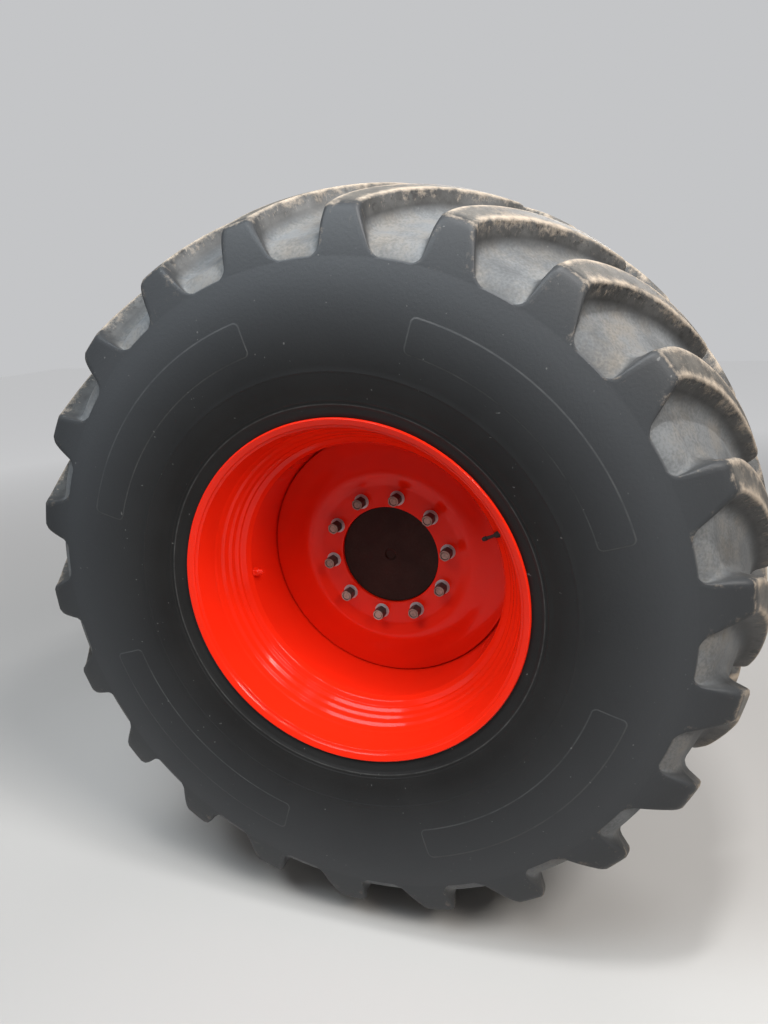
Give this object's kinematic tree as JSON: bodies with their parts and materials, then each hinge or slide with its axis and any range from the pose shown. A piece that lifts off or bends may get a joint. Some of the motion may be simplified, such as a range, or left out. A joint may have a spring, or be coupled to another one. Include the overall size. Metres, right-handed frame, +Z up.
{
  "type": "forage harvester front wheel with hub and final drive",
  "caption": "Driven front wheel of a forage harvester: lugged tractor tyre on a dished steel rim, bolted to a hub that turns on a flange-mounted final drive",
  "frame": {"origin": "centre of the final drive's mounting face, on the wheel's axis", "axes": "+X is the vehicle's forward direction, +Y is the wheel's axis and points to the middle of the vehicle, out of the mounting face, +Z is up"},
  "size_m": [1.8928, 0.888, 1.8928],
  "materials": {
    "tyre_rubber": "dark grey-black rubber with tan dust in the tread and on the lugs' edges",
    "wheel_paint": "glossy orange-red paint on steel",
    "black_rubber": "matt black rubber",
    "black_plastic": "black plastic cap",
    "hub_paint": "dark brown-black coated casting with a turned face",
    "cast_paint": "dark painted casting with machined faces",
    "dusty_steel": "dull grey-brown nuts with dust",
    "zinc": "zinc-plated steel",
    "brass": "dull brass",
    "bare_steel": "bare ground steel"
  },
  "bodies": {
    "final_drive": {"final_drive_housing": "cast_paint", "shaft_seal": "black_rubber", "drain_plug": "zinc", "level_plug": "zinc", "breather": "brass"},
    "wheel": {"tyre": "tyre_rubber", "rim": "wheel_paint", "wheel_disc": "wheel_paint", "disc_weld": "wheel_paint", "valve_stem": "black_rubber", "valve_cap": "black_plastic", "filling_plug": "wheel_paint", "hub": "hub_paint", "hub_seal": "black_rubber", "wheel_studs": "dusty_steel", "nut_washers": "zinc", "wheel_nut_1": "dusty_steel", "wheel_nut_2": "dusty_steel", "wheel_nut_3": "dusty_steel", "wheel_nut_4": "dusty_steel", "wheel_nut_5": "dusty_steel", "wheel_nut_6": "dusty_steel", "wheel_nut_7": "dusty_steel", "wheel_nut_8": "dusty_steel", "wheel_nut_9": "dusty_steel", "wheel_nut_10": "dusty_steel"},
    "drive_shaft": {"input_shaft": "bare_steel"}
  },
  "joints": [
    {"name": "wheel_spin", "type": "hinge", "parent": "final_drive", "child": "wheel", "pos_m": [0, -0.43, 0], "axis": [0, 1, 0], "continuous": true},
    {"name": "input_shaft_spin", "type": "hinge", "parent": "final_drive", "child": "drive_shaft", "pos_m": [0, 0, 0], "axis": [0, 1, 0], "continuous": true}
  ],
  "couplings": [
    {"joint": "input_shaft_spin", "follows": "wheel_spin", "ratio": 5.3333}
  ]
}
